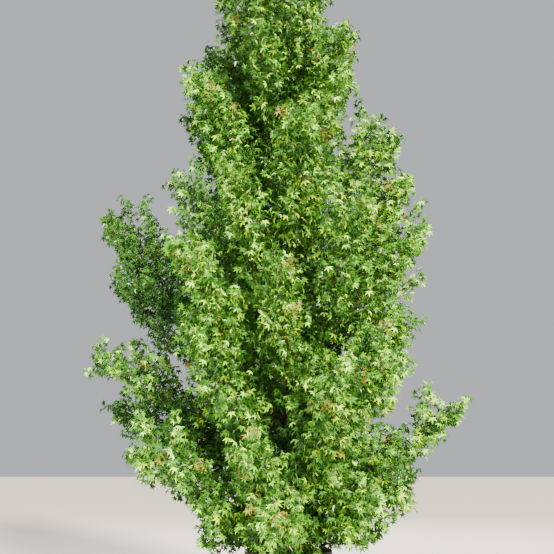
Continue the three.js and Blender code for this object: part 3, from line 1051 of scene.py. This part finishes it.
class SweetgumStageProperties(bpy.types.PropertyGroup):
    """The floor, the lights and the camera."""

    distance: length_property("Distance", "From the camera to the trunk", 6.7, 1, 30)
    eye: length_property("Eye height", "Height of the camera", 1.2, 0.1, 10)
    aside: length_property("Aside", "The camera's place along X", -0.09, -5, 5)
    tilt: number_property(
        "Tilt", "How far the camera looks up", math.radians(13), subtype="ANGLE"
    )
    lens: number_property("Lens", "Focal length on a 36 mm sensor", 52, min=10, max=200)
    key: number_property(
        "Key light", "Strength of the wide main light in watts per square metre", 16.5, min=0
    )
    key_width: number_property(
        "Key width", "The angle that the main light fills, which softens its shadows",
        math.radians(11), min=0, subtype="ANGLE",
    )
    fill: number_property(
        "Fill light", "Power of the light on the other side", 1500, min=0, unit="POWER"
    )
    back: number_property("Back light", "Power of the light behind", 2000, min=0, unit="POWER")
    sky: number_property("Room light", "Strength of the even light all round", 0.64, min=0)
    ground: colour_property("Floor", "Colour of the floor", "#c9c8c3")


# Modelling by hand
def deselect():
    """Leaves edit mode and selects nothing, because an operator acts on all that is selected."""
    if bpy.context.object is not None and bpy.context.object.mode != "OBJECT":
        bpy.ops.object.mode_set(mode="OBJECT")
    bpy.ops.object.select_all(action="DESELECT")


def make_active(obj):
    deselect()
    obj.select_set(True)
    bpy.context.view_layer.objects.active = obj


def apply_modifiers(obj):
    make_active(obj)
    for modifier in list(obj.modifiers):
        bpy.ops.object.modifier_apply(modifier=modifier.name)


def refine(obj, levels, kind="SIMPLE"):
    finer = obj.modifiers.new("finer", "SUBSURF")
    finer.subdivision_type = kind
    finer.levels = finer.render_levels = levels
    apply_modifiers(obj)


def smooth(obj, angle):
    """Shades smooth all edges that turn by less than an angle in degrees."""
    make_active(obj)
    bpy.ops.object.shade_smooth_by_angle(angle=math.radians(angle))


def finish_piece(obj, materials, slot, *nodes):
    """Gives a piece its materials, and ties it to the frame."""
    for material in materials:
        obj.data.materials.append(material)
    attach(obj, "root")
    if nodes:
        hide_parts(*nodes)
    return obj


def start_circle(name, radius, height, sides, centre=(0, 0)):
    deselect()
    bpy.ops.mesh.primitive_circle_add(
        vertices=sides, radius=radius, fill_type="NGON", location=(*centre, height)
    )
    made = bpy.context.object
    made.name = name
    made.data.name = name
    bpy.ops.object.transform_apply(location=True, rotation=False, scale=False)
    bpy.ops.object.mode_set(mode="EDIT")
    bpy.ops.mesh.select_all(action="SELECT")
    return made


def extrude_ring(rise, scale, centre, shift=(0, 0)):
    """Draws the selected face out by rise, then widens or narrows it about centre."""
    bpy.ops.mesh.extrude_region_move(TRANSFORM_OT_translate={"value": (*shift, rise)})
    bpy.ops.transform.resize(value=(scale, scale, 1), center_override=centre)


def draw_profile(profile):
    """Extrudes the selected disc along (radius, height) pairs from the one it stands at."""
    for (radius, height), (next_radius, next_height) in zip(profile, profile[1:]):
        extrude_ring(next_height - height, next_radius / radius, (0, 0, next_height))


def outward_normals(obj):
    make_active(obj)
    bpy.ops.object.mode_set(mode="EDIT")
    bpy.ops.mesh.select_all(action="SELECT")
    bpy.ops.mesh.normals_make_consistent(inside=False)
    bpy.ops.object.mode_set(mode="OBJECT")


def raise_relief(obj, pattern, depth, **settings):
    """Raises a cloud pattern on a mesh and applies it. Further settings are the modifier's."""
    name, size, stretch = pattern
    texture = bpy.data.textures.new(name, "CLOUDS")
    texture.noise_scale = size
    bpy.ops.object.empty_add(location=(0, 0, 0))
    frame_of_pattern = bpy.context.object
    frame_of_pattern.scale = (1, 1, stretch)
    bpy.context.view_layer.update()
    modifier = obj.modifiers.new(name, "DISPLACE")
    modifier.texture = texture
    modifier.texture_coords = "OBJECT"
    modifier.texture_coords_object = frame_of_pattern
    modifier.strength = depth
    for key, value in settings.items():
        setattr(modifier, key, value)
    apply_modifiers(obj)
    bpy.data.objects.remove(frame_of_pattern)


def wall_radius(pot, height):
    """The outer radius of the pot's wall, which widens evenly upwards."""
    return lerp(pot.foot_radius, pot.neck_radius, height / pot.height)


class SWEETGUM_OT_pot(bpy.types.Operator):
    """Model the nursery pot with its rim, drain holes and moulded bands"""

    bl_idname = "sweetgum.make_pot"
    bl_label = "Make Pot"

    def execute(self, context):
        pot = context.scene.sweetgum_pot
        neck = pot.height - pot.rim_depth
        edge = POT["edge"]

        def wall_at(height):
            return wall_radius(pot, height)

        def band(height):
            foot, face, proud = POT["band_foot"], POT["band_face"], POT["band_proud"]
            return [
                (wall_at(height - foot), height - foot),
                (wall_at(height - face) + proud, height - face),
                (wall_at(height + face) + proud, height + face),
                (wall_at(height + foot), height + foot),
            ]

        # Up the outside from the underside, round the rim and down the inside to the floor
        profile = [
            (pot.foot_radius - 3 * edge, 0.0),
            (pot.foot_radius - edge, edge),
            (wall_at(3 * edge), 3 * edge),
            (wall_at(POT["ring_over_drains"]), POT["ring_over_drains"]),
            *[corner for height in POT["bands"] for corner in band(height)],
            (wall_at(neck) - 0.5 * edge, neck - 3 * edge),
            (wall_at(neck) + 1.5 * edge, neck),
            (pot.rim_radius - 1.5 * edge, neck + edge),
            (pot.rim_radius - 0.25 * edge, neck + 2.5 * edge),
            (pot.rim_radius, pot.height - 3.5 * edge),
            (pot.rim_radius - edge, pot.height - edge),
            (pot.rim_radius - 3.5 * edge, pot.height),
            (wall_at(pot.height) - pot.wall + 1.5 * edge, pot.height),
            (wall_at(pot.height) - pot.wall, pot.height - 2 * edge),
            (wall_at(POT["waist"]) - pot.wall, POT["waist"]),
            (wall_at(pot.floor) - pot.wall, pot.floor),
        ]
        made = start_circle("nursery_pot", profile[0][0], 0.0, POT["sides"])
        draw_profile(profile)
        outward_normals(made)
        for i in range(POT["drains"]):
            turn = (i + 0.5) * 2 * math.pi / POT["drains"]
            deselect()
            reach = pot.foot_radius - pot.wall / 2
            bpy.ops.mesh.primitive_cylinder_add(
                vertices=POT["drain_sides"], radius=pot.drain_radius, depth=POT["drill"],
                location=(reach * math.cos(turn), reach * math.sin(turn), pot.drain_height),
                rotation=(0, math.pi / 2, turn),
            )
            drill = bpy.context.object
            cut = made.modifiers.new("drain hole", "BOOLEAN")
            cut.operation = "DIFFERENCE"
            cut.solver = "EXACT"
            cut.object = drill
            apply_modifiers(made)
            bpy.data.objects.remove(drill)
        smooth(made, 32)
        finish_piece(made, [black_polypropylene(pot.plastic)], "pot", "pot")
        return {"FINISHED"}


class SWEETGUM_OT_mix(bpy.types.Operator):
    """Fill the pot with potting mix and lay bark chips on it"""

    bl_idname = "sweetgum.fill_pot"
    bl_label = "Fill Pot"

    def execute(self, context):
        pot = context.scene.sweetgum_pot
        low, high = (corner.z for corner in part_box("soil"))
        edge = high - MIX["edge_drop"]
        skin = MIX["skin"]

        def inside(height):
            return wall_radius(pot, height) - pot.wall - 2 * SEAT_GAP

        profile = [
            *[(inside(z), z) for z in (low, MIX["lower_ring"], edge - MIX["edge_ring"], edge)],
            (MIX["slope_radius"], edge + MIX["slope_rise"]),
            (MIX["mound_radius"], high - skin),
            (MIX["flat_radius"], high - skin),
        ]
        made = start_circle("potting_mix", *profile[0], MIX["sides"])
        draw_profile(profile)
        bpy.ops.mesh.inset(thickness=MIX["inset"])
        bpy.ops.mesh.inset(thickness=MIX["inset"])
        outward_normals(made)
        top = made.vertex_groups.new(name="top")
        top.add([v.index for v in made.data.vertices if v.co.z > edge - skin], 1.0, "REPLACE")
        refine(made, 2)
        upwards = {"direction": "Z", "vertex_group": "top", "mid_level": 0.75}
        raise_relief(made, CRUMBS, MIX["crumb_height"], **upwards)
        made.vertex_groups.clear()
        smooth(made, 60)
        finish_piece(made, [composted_bark(pot.mix)], "potting_mix", "soil")
        chips = lay_chips(pot.chips, inside(edge) - CHIP["from_wall"], edge)
        barks = [bark_chip(name, *shades) for name, shades in CHIP_BARKS.items()]
        finish_piece(chips, barks, "potting_mix")
        return {"FINISHED"}


def lay_chips(number, radius, edge):
    """Flat torn chips, mostly small ones, scattered evenly over the mix and its mound."""
    random = random_from(CHIP["seed"])
    count = CHIP["corners"]
    mound = MIX["mound_radius"]
    vertices = []
    corners = []
    sizes = []
    kinds = []
    for _ in range(number):
        away = radius * math.sqrt(lerp(CHIP["from_trunk"], 1, random()))
        turn = random() * 2 * math.pi
        down = min(1, max(0, (away - mound) / (radius - mound)))
        height = lerp(SOIL_TOP, edge + CHIP["over_edge"], down)
        length = lerp(*CHIP["length"], random() ** 2)
        width = length * lerp(*CHIP["breadth"], random())
        thick = lerp(*CHIP["half_thickness"], random())
        heading = random() * 2 * math.pi
        height += thick * lerp(*CHIP["rise"], random())
        place = Matrix.Translation((away * math.cos(turn), away * math.sin(turn), height))
        place @= Matrix.Rotation(heading, 4, "Z")
        for axis, most in CHIP["tilts"]:
            place @= Matrix.Rotation(lerp(-most, most, random()), 4, axis)
        start = len(vertices)
        for level in (-thick, thick):
            for k in range(count):
                angle = 2 * math.pi * k / count
                ragged = lerp(*CHIP["ragged"], random())
                across = length * ragged * math.cos(angle)
                corner = Vector((across, width * ragged * math.sin(angle), level))
                vertices.append(tuple(place @ corner))
        corners += [start + k for k in range(count - 1, -1, -1)]
        corners += [start + count + k for k in range(count)]
        sizes += [count, count]
        for k in range(count):
            after = (k + 1) % count
            corners += [start + k, start + after, start + count + after, start + count + k]
            sizes.append(4)
        kinds += [int(random() * len(CHIP_BARKS))] * (count + 2)
    return mesh_object("bark_chips", vertices, corners, sizes, kinds, smooth=False)


class SWEETGUM_OT_trunk(bpy.types.Operator):
    """Draw the trunk up from its flat foot through flare, lean and sway, and raise its bark"""

    bl_idname = "sweetgum.grow_trunk"
    bl_label = "Grow Trunk"

    def execute(self, context):
        tree = context.scene.sweetgum_tree
        shares = [i / tree.trunk_rings for i in range(tree.trunk_rings + 1)]
        heights = [TRUNK["height"] * share**RING_CROWDING for share in shares]
        foot = trunk_at(0)
        made = start_circle("trunk_bark", trunk_radius(0), foot.z, TRUNK_SIDES, foot.xy)
        for low, high in zip(heights, heights[1:]):
            here, there = trunk_at(low), trunk_at(high)
            step = there - here
            extrude_ring(step.z, trunk_radius(high) / trunk_radius(low), there, (step.x, step.y))
        bpy.ops.object.mode_set(mode="OBJECT")
        swell_roots(made)
        outward_normals(made)
        refine(made, 1)
        raise_relief(made, BARK_RIDGES, tree.relief)
        raise_relief(made, BARK_LUMPS, tree.relief)
        flatten_foot(made, foot.z)
        smooth(made, 50)
        shades = ("#17130f", tree.bark, "#60564a")
        bark = furrowed_bark("sweetgum_bark", *shades, furrow=0.012, upward=0.22)
        finish_piece(made, [bark], "bark", "trunk")
        return {"FINISHED"}


def swell_roots(obj):
    """Swells the flare over each root and draws it in between, fading upwards."""
    foot = trunk_at(0)
    for vertex in obj.data.vertices:
        height = vertex.co.z - foot.z
        fade = math.exp(-height / TRUNK["flare_height"])
        axis = trunk_at(max(0, height))
        turn = math.atan2(vertex.co.y - axis.y, vertex.co.x - axis.x)
        swell = 1 + TRUNK["root_lobe_depth"] * fade * math.cos(TRUNK["root_lobes"] * turn)
        vertex.co.x = axis.x + (vertex.co.x - axis.x) * swell
        vertex.co.y = axis.y + (vertex.co.y - axis.y) * swell


def flatten_foot(obj, level):
    """Keeps the trunk's cut flat on the mix after its bark is raised."""
    for vertex in obj.data.vertices:
        if vertex.co.z < level + FLAT_FOOT:
            vertex.co.z = level


class SWEETGUM_OT_boughs(bpy.types.Operator):
    """Grow the boughs as tapering curves from the trunk to their leafy ends, and raise their bark"""

    bl_idname = "sweetgum.grow_boughs"
    bl_label = "Grow Boughs"

    def execute(self, context):
        tree = context.scene.sweetgum_tree
        shades = ("#1c1a13", tree.bough, "#4d4838")
        bark = furrowed_bark("bough_bark", *shades, furrow=0.007, upward=0.8)
        nodes = [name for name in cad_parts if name.startswith("bough_")]
        boughs = draw_limbs("boughs_bark", frame_branches(), resolution=3)
        refine(boughs, 1, "CATMULL_CLARK")
        raise_relief(boughs, BOUGH_SWELLINGS, tree.bough_relief)
        light = draw_limbs("light_boughs_bark", lighter_branches(), resolution=2)
        for limbs, stood_for in ((boughs, nodes), (light, [])):
            make_active(limbs)
            bpy.ops.object.shade_smooth()
            finish_piece(limbs, [bark], "bark", *stood_for)
        return {"FINISHED"}


def collar(away, inside):
    """A bough swells where it leaves the trunk, and narrows to its root inside the wood."""
    if not inside:
        return 1
    from_swelling = (away - COLLAR["at"] * inside) / COLLAR["length"]
    swell = COLLAR["swell"] * math.exp(-(from_swelling**2))
    return (1 + swell) * lerp(COLLAR["root"], 1, min(1, away / inside))


def draw_limbs(name, branches, resolution):
    """Draws branches as tapering curves with a collar at each root, as one mesh."""
    deselect()
    bpy.ops.curve.primitive_bezier_curve_add(location=(0, 0, 0))
    made = bpy.context.object
    made.name = name
    curve = made.data
    curve.splines.clear()
    curve.dimensions = "3D"
    curve.bevel_depth = 1.0
    curve.bevel_resolution = resolution
    curve.use_fill_caps = True
    for branch in branches:
        spline = curve.splines.new("POLY")
        spline.points.add(len(branch.line.points) - 1)
        root = branch.line.points[0]
        inside = trunk_radius(root.z - SOIL_TOP) if branch.name != "top" else 0
        for i, (spot, radius) in enumerate(zip(branch.line.points, branch.line.radii)):
            spline.points[i].co = (*spot, 1)
            spline.points[i].radius = radius * collar((spot - root).length, inside)
    make_active(made)
    bpy.ops.object.convert(target="MESH")
    made = bpy.context.object
    made.data.name = name
    outward_normals(made)
    return made


def tiers_of(sprays):
    """The leaves in tiers from the foot up, each with the CAD masses that it stands for."""
    named = sorted((spray for spray in sprays if spray.name), key=lambda spray: spray.height)
    groups = [list(group) for group in np.array_split(np.array(named, dtype=object), TIERS)]
    tops = [max(spray.height for spray in group) for group in groups]
    loose = [leaf for spray in sprays if not spray.name for leaf in spray.leaves]
    tiers = []
    low = -math.inf
    for i, group in enumerate(groups):
        high = math.inf if i == TIERS - 1 else tops[i]
        leaves = [leaf for spray in group for leaf in spray.leaves]
        leaves += [leaf for leaf in loose if low <= leaf.root.z - SOIL_TOP < high]
        tiers.append((leaves, [f"foliage_{spray.name}" for spray in group]))
        low = high
    return tiers


def foliage_nodes():
    return [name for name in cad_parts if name.startswith("foliage_")]


class SWEETGUM_OT_twigs(bpy.types.Operator):
    """Grow the side shoots and their finer shoots from the boughs and the trunk"""

    bl_idname = "sweetgum.grow_twigs"
    bl_label = "Grow Twigs"

    def execute(self, context):
        tree = context.scene.sweetgum_tree
        sprays = grow_crown(context.scene.sweetgum_leaves.length)
        for name, rule, lines in (
            ("side_shoots", SIDE_SHOOTS, [line for spray in sprays for line in spray.side_shoots]),
            ("fine_shoots", SUB_SHOOTS, [line for spray in sprays for line in spray.sub_shoots]),
        ):
            vertices, corners, sizes = tubes(lines, rule["sides"])
            made = mesh_object(name, vertices, corners, sizes)
            finish_piece(made, [shoot_bark(tree.shoot)], "bark", *foliage_nodes())
        return {"FINISHED"}


class SWEETGUM_OT_leaves(bpy.types.Operator):
    """Hang the leaves on their shoots, in tiers from the foot of the crown to its top"""

    bl_idname = "sweetgum.grow_leaves"
    bl_label = "Grow Leaves"

    def execute(self, context):
        foliage = context.scene.sweetgum_leaves
        greens = [
            leaf_blade(f"leaf_{shade}", getattr(foliage, shade), foliage.roughness)
            for shade in LEAF_SHADES
        ]
        stalk, _ = new_material("leaf_stalk", foliage.stalk, roughness=0.5)
        for i, (leaves, nodes) in enumerate(tiers_of(grow_crown(foliage.length))):
            vertices, triangles, kinds = leaf_arrays(leaves)
            sizes = np.full(len(triangles), 3)
            name = f"leaves_tier_{i + 1}"
            made = mesh_object(name, vertices, triangles.ravel(), sizes, kinds, smooth=False)
            finish_piece(made, [*greens, stalk], "foliage", *nodes)
        return {"FINISHED"}


class SWEETGUM_OT_stage(bpy.types.Operator):
    """Lay the floor, hang the soft lights and set the camera"""

    bl_idname = "sweetgum.set_stage"
    bl_label = "Set Stage"

    def execute(self, context):
        stage = context.scene.sweetgum_stage
        deselect()
        bpy.ops.mesh.primitive_plane_add(size=FLOOR_WIDTH, location=(0, 0, -FLOOR_DROP))
        floor = context.object
        floor.name = "studio_floor"
        paint, _ = new_material("studio_floor", stage.ground, roughness=0.9)
        floor.data.materials.append(paint)
        world = bpy.data.worlds.new("studio")
        context.scene.world = world
        world.use_nodes = True
        background = world.node_tree.nodes["Background"]
        background.inputs["Color"].default_value = linear(ROOM_COLOUR)
        background.inputs["Strength"].default_value = stage.sky
        for name, (kind, place, colour) in LIGHTS.items():
            deselect()
            bpy.ops.object.light_add(type=kind, location=place)
            lamp = context.object
            lamp.name = f"{name}_light"
            lamp.data.energy = getattr(stage, name)
            lamp.data.color = linear(colour)[:3]
            lamp.rotation_euler = (LIGHT_AIM - lamp.location).to_track_quat("-Z", "Y").to_euler()
            if kind == "SUN":
                lamp.data.angle = stage.key_width
            else:
                lamp.data.shape = "DISK"
                lamp.data.size = LAMP_WIDTH
        deselect()
        bpy.ops.object.camera_add(
            location=(stage.aside, -stage.distance, stage.eye),
            rotation=(math.pi / 2 + stage.tilt, 0, 0),
        )
        camera = context.object
        camera.name = "photo_camera"
        camera.data.sensor_width = SENSOR_MILLIMETRES
        camera.data.lens = stage.lens
        context.scene.camera = camera
        return {"FINISHED"}


class SWEETGUM_PT_panel(bpy.types.Panel):
    """The steps that make the potted sweetgum, in their order"""

    bl_idname = "SWEETGUM_PT_panel"
    bl_label = "Potted Sweetgum"
    bl_space_type = "VIEW_3D"
    bl_region_type = "UI"
    bl_category = "Sweetgum"

    def draw(self, context):
        layout = self.layout
        scene = context.scene
        for title, settings in (
            ("Pot", scene.sweetgum_pot),
            ("Tree", scene.sweetgum_tree),
            ("Leaves", scene.sweetgum_leaves),
            ("Stage", scene.sweetgum_stage),
        ):
            box = layout.box()
            box.label(text=title)
            for name in settings.__annotations__:
                box.prop(settings, name)
        for operator in OPERATORS:
            layout.operator(operator.bl_idname)


OPERATORS = (
    SWEETGUM_OT_stage,
    SWEETGUM_OT_pot,
    SWEETGUM_OT_mix,
    SWEETGUM_OT_trunk,
    SWEETGUM_OT_boughs,
    SWEETGUM_OT_twigs,
    SWEETGUM_OT_leaves,
)
PROPERTY_GROUPS = {
    "sweetgum_pot": SweetgumPotProperties,
    "sweetgum_tree": SweetgumTreeProperties,
    "sweetgum_leaves": SweetgumLeafProperties,
    "sweetgum_stage": SweetgumStageProperties,
}


def register():
    for name, group in PROPERTY_GROUPS.items():
        bpy.utils.register_class(group)
        setattr(bpy.types.Scene, name, bpy.props.PointerProperty(type=group))
    for operator in OPERATORS:
        bpy.utils.register_class(operator)
    bpy.utils.register_class(SWEETGUM_PT_panel)


def unregister():
    bpy.utils.unregister_class(SWEETGUM_PT_panel)
    for operator in reversed(OPERATORS):
        bpy.utils.unregister_class(operator)
    for name, group in PROPERTY_GROUPS.items():
        delattr(bpy.types.Scene, name)
        bpy.utils.unregister_class(group)


def main():
    register()
    bpy.ops.sweetgum.set_stage()
    bpy.ops.sweetgum.make_pot()
    bpy.ops.sweetgum.fill_pot()
    bpy.ops.sweetgum.grow_trunk()
    bpy.ops.sweetgum.grow_boughs()
    bpy.ops.sweetgum.grow_twigs()
    bpy.ops.sweetgum.grow_leaves()


if __name__ == "__main__":
    main()
